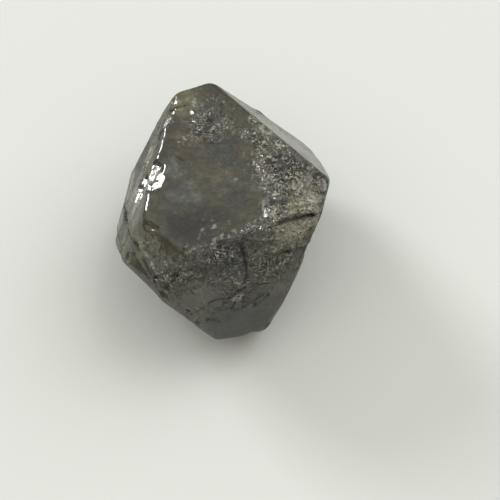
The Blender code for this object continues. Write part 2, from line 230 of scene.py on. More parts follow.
# Three-sided etch pits, which point against the triangle of the face they lie on: how many lie
# on each face. The rim and the slope of a pit are shares of its radius.
TRIGONS = {
    "left": 4,
    "under_left": 8,
    "under_right": 8,
    "under_back": 9,
}
TRIGON_RADIUS = (0.12, 0.32)
TRIGON_RIM = 0.6
TRIGON_SLOPE = 0.35
TRIGON_DEPTH = 0.04
TRIGON_SPREAD = 1.7
TRIGON_SEED = 11

# What follows is too fine for the plain solid. Hairline cracks: (points, depth, half width).
HAIRLINES = {
    "shoulder_crack": (((-1.85, 2.7, 2.6), (-1.5, 2.8, 2.65), (-0.95, 2.92, 2.66)), 0.012, 0.05),
    "top_line": (
        ((0.02, 3.05, 2.68), (-0.04, 2.6, 2.69), (0.06, 2.2, 2.7), (0.02, 1.8, 2.71)),
        0.008, 0.05,
    ),
    "front_line": (((0.77, -2.76, 2.3), (0.83, -2.9, 1.95), (0.9, -2.97, 1.7)), 0.05, 0.05),
    "left_of_crack": (((-0.3, -3.83, 0.72), (0.0, -3.78, 0.6), (0.28, -3.7, 0.5)), 0.018, 0.05),
    "right_of_crack": (((1.1, -3.32, 0.68), (1.4, -3.23, 0.58), (1.75, -3.15, 0.48)), 0.018, 0.05),
    "short_line": (((1.5, -2.65, 1.9), (1.95, -2.55, 1.7), (2.45, -2.45, 1.5)), 0.018, 0.05),
    "left_line": (
        ((-3.4, 0.6, -0.2), (-3.3, -0.2, 0.35), (-3.15, -1.0, 1.0), (-2.95, -1.6, 1.6)),
        0.02, 0.05,
    ),
    "dark_streak": (((-1.63, 0.82, 2.7), (-1.31, 0.57, 2.71), (-0.99, 0.29, 2.72)), 0.01, 0.06),
}

# Places with a net of fine cracks: (place, reach, depth).
CRACKLED = (
    ((-0.55, 1.95, 2.7), 0.75, 0.008),
    ((2.3, -1.0, 2.8), 1.15, 0.008),
    ((2.2, 0.4, 2.8), 0.8, 0.008),
    ((0.2, -2.9, 2.0), 1.2, 0.006),
    ((1.6, -2.6, 1.7), 0.9, 0.007),
)
CRACK_WIDTH = 0.13
NET_PATCHES = (-0.3, 0.3)

# Places with curled etch ridges: (place, reach, height of the ridges).
CURLED = (
    ((2.5, -1.4, 2.75), 1.1, 0.016),
    ((2.3, 0.2, 2.8), 0.9, 0.014),
    ((1.3, 0.5, 2.78), 0.6, 0.006),
    ((0.3, -2.9, 2.1), 1.3, 0.018),
    ((-0.6, 1.9, 2.7), 0.6, 0.006),
    ((-2.0, -2.5, 2.4), 0.7, 0.008),
    ((-2.6, -0.1, 2.3), 0.9, 0.004),
    ((1.8, -2.9, 0.9), 0.9, 0.016),
    ((0.0, 3.2, -0.4), 1.6, 0.03),
    ((-2.2, -2.6, -1.4), 1.4, 0.03),
    ((2.9, 0.4, -1.0), 1.4, 0.03),
)
CURLS_EVERYWHERE = 0.004
CURL_SHARPNESS = 3.0
CURL_WANDER = 0.35
CURL_PATCHES = (-0.35, 0.45)
CURLS_LEAST = 0.35

# Cracks that go deep and look dark: (points, half width).
DARK_LINES = {
    "seam": (
        ((-3.32, 1.64, -0.26), (-3.5, 1.2, -0.52), (-3.58, 0.51, -0.41), (-3.51, -0.3, 0.1),
         (-3.35, -1.19, 0.87), (-2.99, -2.35, 1.83)),
        0.12,
    ),
    "seam_low": (((-2.82, -2.69, 1.65), (-2.59, -3.19, 1.36), (-2.2, -3.66, 1.24)), 0.12),
    "right_crack": (
        ((1.92, -2.04, 2.84), (2.26, -1.89, 2.84), (2.63, -1.77, 2.85), (3.0, -1.67, 2.81),
         (3.39, -1.46, 2.55)),
        0.15,
    ),
    "front_crack":
        (((0.67, -2.61, 2.71), (0.87, -2.92, 1.81), (0.9, -3.18, 1.18), (0.73, -3.39, 0.83)), 0.13),
}

# Broken edges, small chips and bright streaks, with glints painted along them:
# (points, half width).
PAINTED_GLINT_LINES = {
    "bevel": (((-2.85, -2.35, 1.98), (-2.54, -2.83, 1.78), (-2.23, -3.3, 1.59)), 0.12),
    "seam_edge": (((-3.35, -0.3, 0.45), (-3.25, -1.0, 0.95), (-3.1, -1.7, 1.6)), 0.07),
    "lower_edge": (((0.95, -3.38, 0.72), (1.3, -3.25, 0.66), (1.75, -3.12, 0.52)), 0.07),
    "crack_specks": (((0.35, -3.78, 0.3), (0.6, -3.7, 0.25), (0.85, -3.62, 0.4)), 0.14),
    "crack_foot": (((1.5, -2.3, 2.8), (2.4, -2.02, 2.76), (3.3, -1.6, 2.45)), 0.1),
    "curved_ridge": (((-1.2, -3.15, 2.7), (-0.8, -2.85, 2.78), (-0.16, -2.78, 2.81)), 0.05),
    "chip_back": (((1.02, 2.4, 2.7), (1.25, 2.1, 2.74)), 0.22),
    "chip": (((1.35, 1.95, 2.74), (1.75, 1.55, 2.75)), 0.22),
    "chip_front": (((1.9, 1.3, 2.76), (2.15, 1.0, 2.78)), 0.2),
    "left_layers": (((-2.45, 1.8, 1.8), (-2.75, 1.35, 1.25), (-3.05, 0.9, 0.6)), 0.16),
    "pale_line": (((-0.93, 2.92, 2.66), (-0.95, 3.12, 2.62)), 0.05),
    "right_sparks": (((3.0, -0.85, 2.78), (3.15, -1.4, 2.66), (3.3, -1.85, 2.1)), 0.38),
    "low_sparks": (((1.6, -1.5, 2.82), (2.3, -1.85, 2.7), (3.0, -2.05, 1.9)), 0.4),
    "left_sparks": (((-3.15, 0.56, 0.61), (-2.98, 0.0, 1.3), (-2.81, -0.56, 1.9)), 0.34),
    "left_strip": (((-2.2, 2.4, 2.1), (-2.6, 1.2, 1.75), (-2.95, 0.4, 1.2)), 0.12),
}

# Places crowded with etch marks, which scatter light and are partly filled with dark grains,
# with shade painted low between their waves and glints painted on their crests, and places free
# of them: (place, reach, strength).
CROWDED = (
    ((2.6, -1.2, 2.75), 1.3, 1.0),
    ((2.1, 0.3, 2.8), 0.9, 0.9),
    ((1.4, 1.5, 2.75), 0.6, 0.6),
    ((-0.5, 1.9, 2.7), 0.65, 0.8),
    ((0.1, -2.9, 2.1), 1.1, 0.9),
    ((1.9, -2.8, 1.4), 1.0, 0.8),
    ((-1.5, -3.5, 1.8), 0.7, 0.8),
    ((0.6, -3.5, 0.6), 0.8, 0.7),
    ((-2.3, -2.4, 2.44), 0.35, 0.6),
    ((0.0, 3.2, -0.4), 1.6, 0.5),
    ((-2.2, -2.6, -1.4), 1.4, 0.5),
    ((2.9, 0.4, -1.0), 1.4, 0.5),
    ((-1.1, -1.6, 2.75), 1.3, -1.2),
    ((-0.2, -1.2, 2.75), 0.9, -0.8),
    ((1.0, -1.3, 2.75), 0.55, -0.7),
    ((0.0, -2.1, 2.75), 0.8, -0.6),
    ((-0.9, 0.2, 2.75), 1.1, -0.7),
    ((0.4, 0.9, 2.75), 0.6, -0.5),
    ((0.3, -4.0, -0.8), 1.0, -0.5),
)
CROWDED_ELSEWHERE = 0.28
CROWD_PATCHES = (-0.1, 0.6)

# Places with fine parallel growth lines: (place, reach, height of the lines).
LINED = (
    ((-2.8, 1.0, 1.4), 1.7, 0.022),
    ((-0.9, -3.6, 1.2), 1.2, 0.016),
    ((0.6, -2.9, 2.1), 0.6, 0.018),
    ((1.7, -3.0, 1.0), 0.9, 0.014),
    ((2.9, -1.9, 2.0), 0.9, 0.018),
    ((-2.6, -1.6, -1.6), 2.4, 0.016),
    ((2.6, 0.0, -1.6), 2.4, 0.016),
    ((-0.4, 2.9, -1.0), 2.6, 0.016),
)
LINE_SPACING = 0.13
LINE_WANDER = 0.05

# Noise that bends and roughens the forms: (size of its lumps, seed). Fine noise that is added
# to another has a share of its strength.
GRAINS = {
    "layers": (1.1, 1),
    "fine_layers": (0.45, 2),
    "ledges": (0.5, 4),
    "grooves": (0.35, 5),
    "lumps": (0.42, 6),
    "fine_lumps": (0.21, 7),
    "swell": (2.4, 8),
    "curls": (0.24, 9),
    "fine_curls": (0.12, 10),
    "curl_patches": (0.8, 12),
    "lines": (0.9, 13),
    "net": (0.34, 14),
    "net_patches": (0.6, 15),
    "crowds": (0.9, 16),
    "flats": (0.3, 17),
    "right": (0.7, 21),
    "back": (0.7, 22),
    "up": (0.7, 23),
}
FINE_SHARE = 0.5

# The block that the planes cut, how much of the lowest face is cut off, and the ball on which
# lines are compared with the surface.
BLANK_SIDE = 20.0
BASE_SHAVE = 0.02
BALL_RADIUS = 3.6
FAR = 99.0

# Steps of the search for the surface, and the least slants that count on the way.
SEARCH_STEPS = 8
LEAST_SLANT = 0.05
LEAST_TURN = 0.2

# How fast the next face falls away beyond an edge.
EDGE_FALL = 1.15

# How forms fade: the spread of a place as a share of its reach, and how far a line's form runs
# past its ends and fades inside them, as shares of the line.
PLACE_SPREAD = 0.6
END_OVERRUN = 0.05
LEDGE_FADE = 0.08
GROOVE_FADE = 0.12

# The least slant of a flat spot that counts, the slope from which a face counts as level, and
# the height over the base in which fine relief fades in.
LEAST_FACING = 0.4
LEVEL_SLOPE = 80.0
LYING_BAND = 0.3

# Heights of lines and depths of hairlines and hollows that count as full strength.
FULL_LINES = 0.02
FULL_HAIRLINES = 0.014
FULL_HOLLOWS = 0.20


def linear_colour(hex_code):
    """A colour in sRGB hex, such as #5f5d52, turned to linear red, green, blue and alpha."""
    shares = [int(hex_code[start:start + 2], 16) / 255.0 for start in (1, 3, 5)]
    return [s / 12.92 if s <= 0.04045 else ((s + 0.055) / 1.055) ** 2.4 for s in shares] + [1.0]


def number_setting(name, description, default, **limits):
    """A number that can be set."""
    return FloatProperty(name=name, description=description, default=default, **limits)


def colour_setting(name, description, hex_code):
    """A colour that can be set."""
    return FloatVectorProperty(
        name=name, description=description, default=linear_colour(hex_code), size=4,
        min=0.0, max=1.0, subtype="COLOR",
    )


class CrystalSettings(bpy.types.PropertyGroup):
    """Sizes and colours of the crystal."""

    mesh_step: number_setting(
        "Mesh step", "Side of the squares of the even mesh",
        0.0535 * MM, min=0.03 * MM, unit="LENGTH"
    )
    fine_relief: number_setting(
        "Fine relief", "Share of the height of curls, lines and fine cracks",
        1.0, min=0.0, max=3.0, subtype="FACTOR"
    )
    ior: number_setting("IOR", "Index of refraction of diamond", 2.417, min=1.0, max=4.0)
    clearness: number_setting(
        "Clearness", "Share of the light that enters the crystal unscattered",
        0.50, min=0.0, max=1.0, subtype="FACTOR"
    )
    gloss_roughness: number_setting(
        "Roughness", "Roughness of a smooth growth face", 0.10, min=0.0, max=1.0, subtype="FACTOR"
    )
    absorption: number_setting(
        "Absorption", "How fast the crystal darkens light, per metre", 420.0, min=0.0
    )
    olive: colour_setting("Olive", "Main colour of the body", "#6c6749")
    grey: colour_setting("Grey", "Second colour of the body, in clouds", "#65634d")
    absorbed_tint: colour_setting(
        "Tint", "Colour that light takes on its way through the crystal", "#b0a97c"
    )


class StageSettings(bpy.types.PropertyGroup):
    """The floor, the light and the camera."""

    floor_colour: colour_setting("Floor", "Colour of the floor", "#e7e9e5")
    floor_radius: number_setting(
        "Floor radius", "Radius of the round floor", 0.35, min=0.05, unit="LENGTH"
    )
    back_level: number_setting(
        "Light from behind", "Brightness of the room low behind the crystal", 0.42, min=0.0
    )
    front_level: number_setting(
        "Light from the front", "Brightness of the room low in front of it", 0.36, min=0.0
    )
    zenith_level: number_setting("Ceiling light", "Brightness of the room overhead", 1.00, min=0.0)
    window_power: number_setting(
        "Window", "Power of the bright soft light behind and to the left",
        0.98, min=0.0, subtype="POWER"
    )
    fill_power: number_setting(
        "Fill", "Power of the soft light to the right and a little behind",
        0.88, min=0.0, subtype="POWER"
    )
    print_gamma: number_setting(
        "Print gamma", "Below 1, the picture gets deeper shadows", 0.72, min=0.5, max=1.5
    )
    elevation: number_setting(
        "Camera elevation", "How steeply the camera looks down",
        math.radians(63.0), min=0.0, max=math.pi / 2, subtype="ANGLE"
    )
    distance: number_setting(
        "Camera distance", "From the lens to the middle of the crystal",
        54.0 * MM, min=10.0 * MM, unit="LENGTH"
    )
    lens: number_setting(
        "Lens", "Focal length on a sensor 36 mm wide", 108.0, min=10.0, unit="CAMERA"
    )


def outward(azimuth, slope):
    """The unit direction at an azimuth and a slope in degrees."""
    turn = math.radians(azimuth)
    rise = math.radians(slope)
    level = math.cos(rise)
    return np.array((math.cos(turn) * level, math.sin(turn) * level, math.sin(rise)))


def planes():
    """The outward normals and distances of all faces, corners included."""
    table = list(FACES.values()) + list(CORNERS.values())
    normals = np.array([outward(azimuth, slope) for azimuth, slope, _ in table])
    return normals, np.array([distance for _, _, distance in table])


def new_object(name, data):
    """An object in the scene that shows the data."""
    obj = bpy.data.objects.new(name, data)
    bpy.context.scene.collection.objects.link(obj)
    return obj


def cut_off(mesh, place, normal):
    """Takes away what lies beyond a plane, and closes the cut."""
    everything = mesh.verts[:] + mesh.edges[:] + mesh.faces[:]
    bmesh.ops.bisect_plane(
        mesh, geom=everything, plane_co=Vector(place), plane_no=Vector(normal), clear_outer=True
    )
    bmesh.ops.holes_fill(mesh, edges=mesh.edges[:])


def cut_body(name):
    """A cube cut by every plane, as a mesh object in millimetres."""
    mesh = bmesh.new()
    bmesh.ops.create_cube(mesh, size=BLANK_SIDE)
    for normal, distance in zip(*planes()):
        cut_off(mesh, normal * distance, normal)
    bmesh.ops.recalc_face_normals(mesh, faces=mesh.faces[:])
    data = bpy.data.meshes.new(name)
    mesh.to_mesh(data)
    mesh.free()
    return new_object(name, data)


def bake_modifiers(obj):
    """Turns what the modifiers make into the object's own mesh."""
    graph = bpy.context.evaluated_depsgraph_get()
    made = bpy.data.meshes.new_from_object(obj.evaluated_get(graph))
    obj.modifiers.clear()
    obj.data = made


def points_of(obj):
    """The places of all points of the mesh, one in each row."""
    points = np.empty(len(obj.data.vertices) * 3, np.float32)
    obj.data.vertices.foreach_get("co", points)
    return points.reshape(-1, 3).astype(float)


def smooth_step(low, high, value):
    """0 up to the low value, 1 from the high one, and smooth in between."""
    share = np.clip((value - low) / (high - low), 0.0, 1.0)
    return share * share * (3.0 - 2.0 * share)


def falloff(points, place, reach):
    """1 at the place, falling smoothly to almost 0 at twice the reach."""
    squared = ((points - np.array(place)) ** 2).sum(axis=1)
    return np.exp(-squared / (2.0 * (PLACE_SPREAD * reach) ** 2))


def strength_at(points, table):
    """What a table of places gives at each point."""
    strength = np.zeros(len(points))
    for place, reach, height in table:
        strength += height * falloff(points, place, reach)
    return strength


def grain(points, name):
    """Smooth noise from about -1 to 1, with the lumps of the named grain."""
    size, seed = GRAINS[name]
    shift = Vector((seed * 7.3, seed * 3.1, seed * 5.7))
    return np.array([noise.noise(Vector(point) / size + shift) for point in points])


def rounded_crystal(rays):
    """Where rays from the middle leave the crystal, which way it faces there, and how far each
    of those points lies beyond every plane.

    The crystal is the place where all planes meet, rounded by adding their distances softly.
    """
    normals, distances = planes()
    slant = rays @ normals.T
    hits = np.where(slant > LEAST_SLANT, distances / np.maximum(slant, LEAST_SLANT), FAR)
    reach = hits.min(axis=1)
    for _ in range(SEARCH_STEPS):
        points = rays * reach[:, None]
        rounding = EDGE_ROUNDING + strength_at(points, SOFT_PLACES)
        clearance = points @ normals.T - distances
        most = clearance.max(axis=1)
        weights = np.exp((clearance - most[:, None]) / rounding[:, None])
        excess = most + rounding * np.log(weights.sum(axis=1))
        weights /= weights.sum(axis=1)[:, None]
        reach -= excess / np.maximum((weights * slant).sum(axis=1), LEAST_TURN)
    out = weights @ normals
    out /= np.linalg.norm(out, axis=1)[:, None]
    return rays * reach[:, None], out, clearance


def edge_distance(clearance):
    """How far each point lies from the nearest edge of its face."""
    order = np.sort(clearance[:, : len(FACES)], axis=1)
    return (order[:, -1] - order[:, -2]) / EDGE_FALL


def growth_layers(points, clearance):
    """The stepped edges: the surface drops in flat layers toward each edge of its face."""
    wander = grain(points, "layers") + FINE_SHARE * grain(points, "fine_layers")
    near = edge_distance(clearance) + LAYER_WANDER * wander
    slope = LAYER_DROP * (1.0 - smooth_step(0.0, LAYER_REACH, near)) ** 1.5
    share = np.clip(LAYERS_EVERYWHERE + strength_at(points, LAYERED_PLACES), 0.0, 1.0)
    steps = slope * share / LAYER_HEIGHT
    whole = np.floor(steps)
    return -LAYER_HEIGHT * (whole + smooth_step(1.0 - RISER_SHARE, 1.0, steps - whole))


def calm(clearance):
    """The share of the relief that each point takes: little on the smooth face, all elsewhere."""
    index = list(FACES).index(CALM_FACE)
    others = np.delete(clearance, index, axis=1).max(axis=1)
    return 1.0 - (1.0 - CALM_SHARE) * smooth_step(0.0, CALM_BORDER, clearance[:, index] - others)


def along(points, line):
    """How far each point is from a line of places, on which side of it, and how far along it.

    Both are laid out on a ball around the middle, so a place need not lie exactly on the surface.
    """
    spots = points / np.linalg.norm(points, axis=1)[:, None] * BALL_RADIUS
    knots = np.array(line) / np.linalg.norm(line, axis=1)[:, None] * BALL_RADIUS
    nearest = np.full(len(points), FAR)
    side = np.ones(len(points))
    share = np.zeros(len(points))
    for index, (start, end) in enumerate(zip(knots[:-1], knots[1:])):
        run = end - start
        spot = ((spots - start) @ run) / (run @ run)
        foot = start + np.clip(spot, 0.0, 1.0)[:, None] * run
        gap = np.linalg.norm(spots - foot, axis=1)
        closer = gap < nearest
        nearest = np.where(closer, gap, nearest)
        turn = np.sign((np.cross(run, spots - start) * spots).sum(axis=1))
        side = np.where(closer, turn, side)
        share = np.where(closer, (index + spot) / (len(knots) - 1), share)
    return nearest, side, share


def between_ends(share, fade):
    """1 along a line, fading to 0 at its two ends."""
    start = smooth_step(-END_OVERRUN, fade, share)
    return start * (1.0 - smooth_step(1.0 - fade, 1.0 + END_OVERRUN, share))


def ledge(points, line, height, reach):
    """A step down on the right of the line, which fades out at its reach and at the line's ends."""
    near, side, share = along(points, line)
    distance = -near * side + LEDGE_WOBBLE * grain(points, "ledges")
    step = smooth_step(-RISER_HALF_WIDTH, RISER_HALF_WIDTH, distance)
    step = step * (1.0 - smooth_step(LOW_SIDE_FLAT * reach, reach, distance))
    return -height * step * between_ends(share, LEDGE_FADE)


def groove(points, line, depth, half_width):
    """A V-shaped crack along the line."""
    near, _, share = along(points, line)
    near = near + GROOVE_WOBBLE * grain(points, "grooves")
    return -depth * np.clip(1.0 - near / half_width, 0.0, 1.0) * between_ends(share, GROOVE_FADE)


def dent(points, place, radius, depth):
    """A round hollow, deepest at the place."""
    gap = np.linalg.norm(points - np.array(place), axis=1) / radius
    return -depth * np.clip(1.0 - gap * gap, 0.0, 1.0)


def flat_spot(points, out, place, facing, depth, reach):
    """A slanting cut with a ragged rim, deepest at the place."""
    normal = outward(*facing)
    over = (points - np.array(place)) @ normal + depth + FLAT_WOBBLE * grain(points, "flats")
    gap = np.linalg.norm(points - np.array(place), axis=1) / reach
    cut = np.maximum(over, 0.0) * (1.0 - smooth_step(FLAT_RIM, 1.0, gap))
    return -cut / np.maximum(out @ normal, LEAST_FACING)


def trigons(points, clearance):
    """Three-sided etch pits, scattered over the faces that have some."""
    height = np.zeros(len(points))
    chance = np.random.default_rng(TRIGON_SEED)
    nearest_face = clearance.argmax(axis=1)
    for index, (name, (azimuth, slope, _)) in enumerate(FACES.items()):
        normal = outward(azimuth, slope)
        level = abs(slope) > LEVEL_SLOPE
        first = np.cross((0.0, 1.0, 0.0) if level else (0.0, 0.0, 1.0), normal)
        first /= np.linalg.norm(first)
        second = np.cross(normal, first)
        flat = np.stack((points @ first, points @ second), axis=1)
        corner = math.pi / 2 if slope > 0 else -math.pi / 2
        sides = [corner + turn * 2.0 * math.pi / 3.0 for turn in range(3)]
        for _ in range(TRIGONS.get(name, 0)):
            middle = chance.uniform(-TRIGON_SPREAD, TRIGON_SPREAD, 2)
            radius = chance.uniform(*TRIGON_RADIUS)
            offset = flat - middle
            gap = np.max([offset @ (math.cos(side), math.sin(side)) for side in sides], axis=0)
            inward = (TRIGON_RIM * radius - gap) / (TRIGON_SLOPE * radius)
            pit = TRIGON_DEPTH * np.clip(inward, 0.0, 1.0)
            height -= np.where(nearest_face == index, pit, 0.0)
    return height


def crack_net(points):
    """1 on the walls between irregular cells, 0 inside them."""
    size, seed = GRAINS["net"]
    shift = Vector((seed * 3.7, seed * 9.1, seed * 1.9))
    walls = np.empty(len(points))
    for index, point in enumerate(points):
        near = noise.voronoi(Vector(point) / size + shift)[0]
        walls[index] = near[1] - near[0]
    return np.clip(1.0 - walls / CRACK_WIDTH, 0.0, 1.0)


def fine_relief(points, clearance):
    """Curls, growth lines and hairlines: their height, and how deep each point lies in a crack."""
    wander = np.stack([grain(points, name) for name in ("right", "back", "up")], axis=1)
    bent = points + CURL_WANDER * wander
    curls = 1.0 - np.abs(grain(bent, "curls")) * CURL_SHARPNESS
    curls += FINE_SHARE * (1.0 - np.abs(grain(bent, "fine_curls")) * CURL_SHARPNESS)
    patchy = smooth_step(*CURL_PATCHES, grain(points, "curl_patches"))
    curled = strength_at(points, CURLED) * (CURLS_LEAST + (1.0 - CURLS_LEAST) * patchy)
    height = (curled + CURLS_EVERYWHERE) * curls
    phase = (edge_distance(clearance) + LINE_WANDER * grain(points, "lines")) / LINE_SPACING
    height -= strength_at(points, LINED) * (phase - np.floor(phase))
    net = crack_net(bent) * smooth_step(*NET_PATCHES, grain(points, "net_patches"))
    cracks_and_shade = strength_at(points, CRACKLED) * net
    for line, depth, half_width in HAIRLINES.values():
        cracks_and_shade -= groove(points, line, depth, half_width)
    share = calm(clearance)
    return (height - cracks_and_shade) * share, cracks_and_shade * share


def near_lines(points, lines):
    """1 along the lines, 0 away from them."""
    share = np.zeros(len(points))
    for line, half_width in lines.values():
        share = np.maximum(share, -groove(points, line, 1.0, half_width))
    return share


def main_relief(points, out, clearance):
    """The relief that the plain solid has too: its height, and the depth of its cracks and pits,
    which darkens the colour as dark cracks and as shade painted in the pits.
    """
    cracks_and_shade = np.zeros(len(points))
    for line, depth, half_width in GROOVES.values():
        cracks_and_shade -= groove(points, line, depth, half_width)
    for place, radius, depth in DENTS.values():
        cracks_and_shade -= dent(points, place, radius, depth)
    height = growth_layers(points, clearance) + trigons(points, clearance) - cracks_and_shade
    for line, step, reach in LEDGES.values():
        height += ledge(points, line, step, reach)
    for place, facing, depth, reach in FLATS.values():
        height += flat_spot(points, out, place, facing, depth, reach)
    lumps = grain(points, "lumps") + FINE_SHARE * grain(points, "fine_lumps")
    height += lumps * strength_at(points, ETCHED)
    height += SWELL_HEIGHT * grain(points, "swell")
    share = calm(clearance)
    return height * share, cracks_and_shade * share


def store(obj, name, values):
    """Keeps a value for each point, which the material reads by its name."""
    attribute = obj.data.attributes.new(name, "FLOAT", "POINT")
    attribute.data.foreach_set("value", values.astype(np.float32))


def shape_surface(obj, settings):
    """Moves the even mesh of the cut body onto the rounded crystal, and adds all relief."""
    start = points_of(obj)
    rays = start / np.linalg.norm(start, axis=1)[:, None]
    points, out, clearance = rounded_crystal(rays)
    height, hollow = main_relief(points, out, clearance)
    fine, cracks_and_shade = fine_relief(points, clearance)
    lying = smooth_step(0.0, LYING_BAND, points[:, 2] + FACES["base"][2])
    points += out * (height + settings.fine_relief * fine * lying)[:, None]
    points[:, 2] = np.maximum(points[:, 2], BASE_SHAVE - FACES["base"][2])
    obj.data.vertices.foreach_set("co", points.astype(np.float32).ravel())
    obj.data.update()
    crowded = CROWDED_ELSEWHERE * smooth_step(*CROWD_PATCHES, grain(points, "crowds"))
    crowded = (crowded + strength_at(points, CROWDED)) * calm(clearance)
    store(obj, "etched", np.clip(crowded, 0.0, 1.0))
    store(obj, "lined", np.clip(strength_at(points, LINED) / FULL_LINES, 0.0, 1.0))
    store(obj, "edge", edge_distance(clearance))
    store(obj, "glint_paint", near_lines(points, PAINTED_GLINT_LINES))
    # The depth of cracks and pits darkens the colour: dark cracks, and shade painted in the pits.
    cracks_and_shade = cracks_and_shade / FULL_HAIRLINES + hollow / FULL_HOLLOWS
    store(obj, "cracks_and_shade", np.clip(cracks_and_shade + near_lines(points, DARK_LINES), 0.0, 1.0))


def empty_tree(owner):
    """The node tree of a new material or world, without nodes."""
    owner.use_nodes = True
    owner.node_tree.nodes.clear()
    return owner.node_tree


def add(tree, kind, inputs=(), **settings):
    """Adds a node with its settings, and gives its inputs values or outputs of other nodes."""
    node = tree.nodes.new(kind)
    for name, value in settings.items():
        setattr(node, name, value)
    for name, value in dict(inputs).items():
        if isinstance(value, bpy.types.NodeSocket):
            tree.links.new(value, node.inputs[name])
        else:
            node.inputs[name].default_value = value
    return node


# Inputs and output of a Mix node, for numbers and for colours.
MIX_SOCKETS = {"FLOAT": (0, 2, 3, 0), "RGBA": (0, 6, 7, 2)}


def blend(tree, share, first, second, kind="RGBA", **settings):
    """Mixes two numbers or two colours by a share."""
    factor, start, end, result = MIX_SOCKETS[kind]
    inputs = {factor: share, start: first, end: second}
    return add(tree, "ShaderNodeMix", inputs, data_type=kind, **settings).outputs[result]


def span(tree, value, low, high, at_low=0.0, at_high=1.0):
    """Turns a value from one range smoothly into another."""
    return add(
        tree, "ShaderNodeMapRange",
        {"Value": value, "From Min": low, "From Max": high, "To Min": at_low, "To Max": at_high},
        interpolation_type="SMOOTHSTEP",
    ).outputs[0]


def combine(tree, operation, *values):
    """Puts numbers together."""
    inputs = dict(enumerate(values))
    return add(tree, "ShaderNodeMath", inputs, operation=operation).outputs[0]


def multiply(tree, first, second):
    """The product of two numbers."""
    return combine(tree, "MULTIPLY", first, second)


def scale_add(tree, first, second, third):
    """The product of two numbers, added to a third."""
    return combine(tree, "MULTIPLY_ADD", first, second, third)


def vectors(tree, operation, *values, output="Vector"):
    """Puts vectors together."""
    inputs = dict(enumerate(values))
    return add(tree, "ShaderNodeVectorMath", inputs, operation=operation).outputs[output]


def cloud(tree, place, name, output="Fac"):
    """The named noise."""
    size, detail, rough, bend, seed = CLOUDS[name]
    inputs = {
        "Vector": vectors(tree, "ADD", place, (seed, seed, seed)),
        "Scale": 1.0 / size,
        "Detail": detail,
        "Roughness": rough,
        "Distortion": bend,
    }
    return add(tree, "ShaderNodeTexNoise", inputs).outputs[output]


def spread_cloud(tree, place, name):
    """The named noise, spread over its range."""
    return span(tree, cloud(tree, place, name), *RANGES[name])


def mosaic(tree, place, size, width):
    """Cells of a size in millimetres: thin lines between them, how each cell tilts, its tone."""
    inputs = {"Vector": place, "Scale": 1.0 / size}
    edges = add(tree, "ShaderNodeTexVoronoi", inputs, feature="DISTANCE_TO_EDGE")
    lines = span(tree, edges.outputs["Distance"], 0.0, width, 1.0, 0.0)
    cells = add(tree, "ShaderNodeTexVoronoi", inputs)
    tilt = vectors(tree, "SUBTRACT", cells.outputs["Color"], (0.5, 0.5, 0.5))
    middle = vectors(tree, "MULTIPLY", cells.outputs["Position"], (size, size, size))
    offset = vectors(tree, "SUBTRACT", place, middle)
    height = vectors(tree, "DOT_PRODUCT", tilt, offset, output="Value")
    tone = add(tree, "ShaderNodeSeparateXYZ", {"Vector": cells.outputs["Color"]}).outputs["X"]
    return lines, height, tone


# Patches of colour seen in the body, as they lie near the surface, and pale patches of painted
# highlight and reflection on the left side, the bevel and the smooth facet: place, reach in
# millimetres, colour and strength.
PATCHES = {
    "rosy": ((-1.16, 1.36, 2.7), 1.0, "#80705d", 0.7),
    "blue_back": ((0.14, 0.96, 2.75), 0.72, "#5c5d56", 0.85),
    "blue_left": ((-1.65, 0.29, 2.7), 0.5, "#90908a", 0.85),
    "blue_middle": ((-1.3, -0.79, 2.75), 0.6, "#85857e", 0.8),
    "warm_left": ((-1.05, -2.04, 2.75), 1.0, "#2f2c1d", 0.9),
    "brown_middle": ((0.07, -0.23, 2.75), 0.6, "#80795f", 0.75),
    "blue_right": ((0.46, -0.94, 2.75), 0.7, "#4e4e43", 0.8),
    "olive_middle": ((-0.07, -1.62, 2.75), 0.5, "#4a482f", 0.8),
    "brown_edge": ((0.88, 0.88, 2.75), 0.42, "#7d6d57", 0.7),
    "orange_spot": ((1.27, -0.03, 2.78), 0.34, "#736140", 0.7),
    "dark_right": ((2.2, 0.25, 2.78), 0.7, "#444433", 0.85),
    "lens_pale": ((2.4, -0.6, 2.8), 0.5, "#b0ac89", 0.8),
    "straw_right": ((3.0, -0.95, 2.75), 0.7, "#bdb999", 0.9),
    "straw_low": ((2.6, -1.9, 2.5), 1.0, "#b7b393", 0.9),
    "pale_shoulder": ((-1.4, 2.9, 2.6), 0.8, "#a09d7c", 0.85),
    "crackle_dark": ((-0.4, 1.85, 2.7), 0.62, "#5d5a3f", 0.75),
    "rosy_low": ((-0.61, -3.26, 2.35), 0.5, "#514838", 0.75),
    "dark_front": ((0.3, -2.9, 2.1), 1.0, "#26271f", 0.95),
    "green_grey": ((1.9, -2.77, 1.22), 0.42, "#4c5248", 0.75),
    "dark_foot": ((0.6, -3.75, -0.3), 1.8, "#323120", 0.85),
    "pale_chunk": ((-2.9, -2.35, 0.6), 0.8, "#9c9a74", 0.75),
    # Painted reflection of the window and the pale floor, seen at a grazing angle on the left side.
    "left_pale": ((-3.1, 0.5, 0.8), 0.75, "#cfcec2", 0.75),
    "left_foot_back": ((-3.35, 1.2, -0.15), 0.75, "#cfcec2", 0.75),
    "left_foot_front": ((-3.8, 0.1, -0.7), 0.85, "#c6c5b8", 0.75),
    "left_strip": ((-2.65, 1.45, 1.45), 0.85, "#c6c4b6", 0.7),
    # Painted highlight along the bevel of the left shoulder.
    "painted_highlight_bevel": ((-2.6, -2.6, 1.9), 0.8, "#98947a", 0.8),
    # Painted highlight, where the window shows on the left shoulder.
    "painted_highlight_corner": ((-2.45, -0.1, 2.55), 0.5, "#cfcec2", 0.75),
    # Painted reflection of the floor on the smooth facet at the back right.
    "painted_reflection_facet": ((2.0, 2.0, 2.0), 1.2, "#a9a791", 0.8),
    # Painted reflection of the window, low on the left shoulder.
    "left_pale_low": ((-2.95, -0.35, 1.5), 0.85, "#cfcec2", 0.75),
}
PATCH_WANDER = 1.3
PATCH_BORDER = (0.35, 1.15)

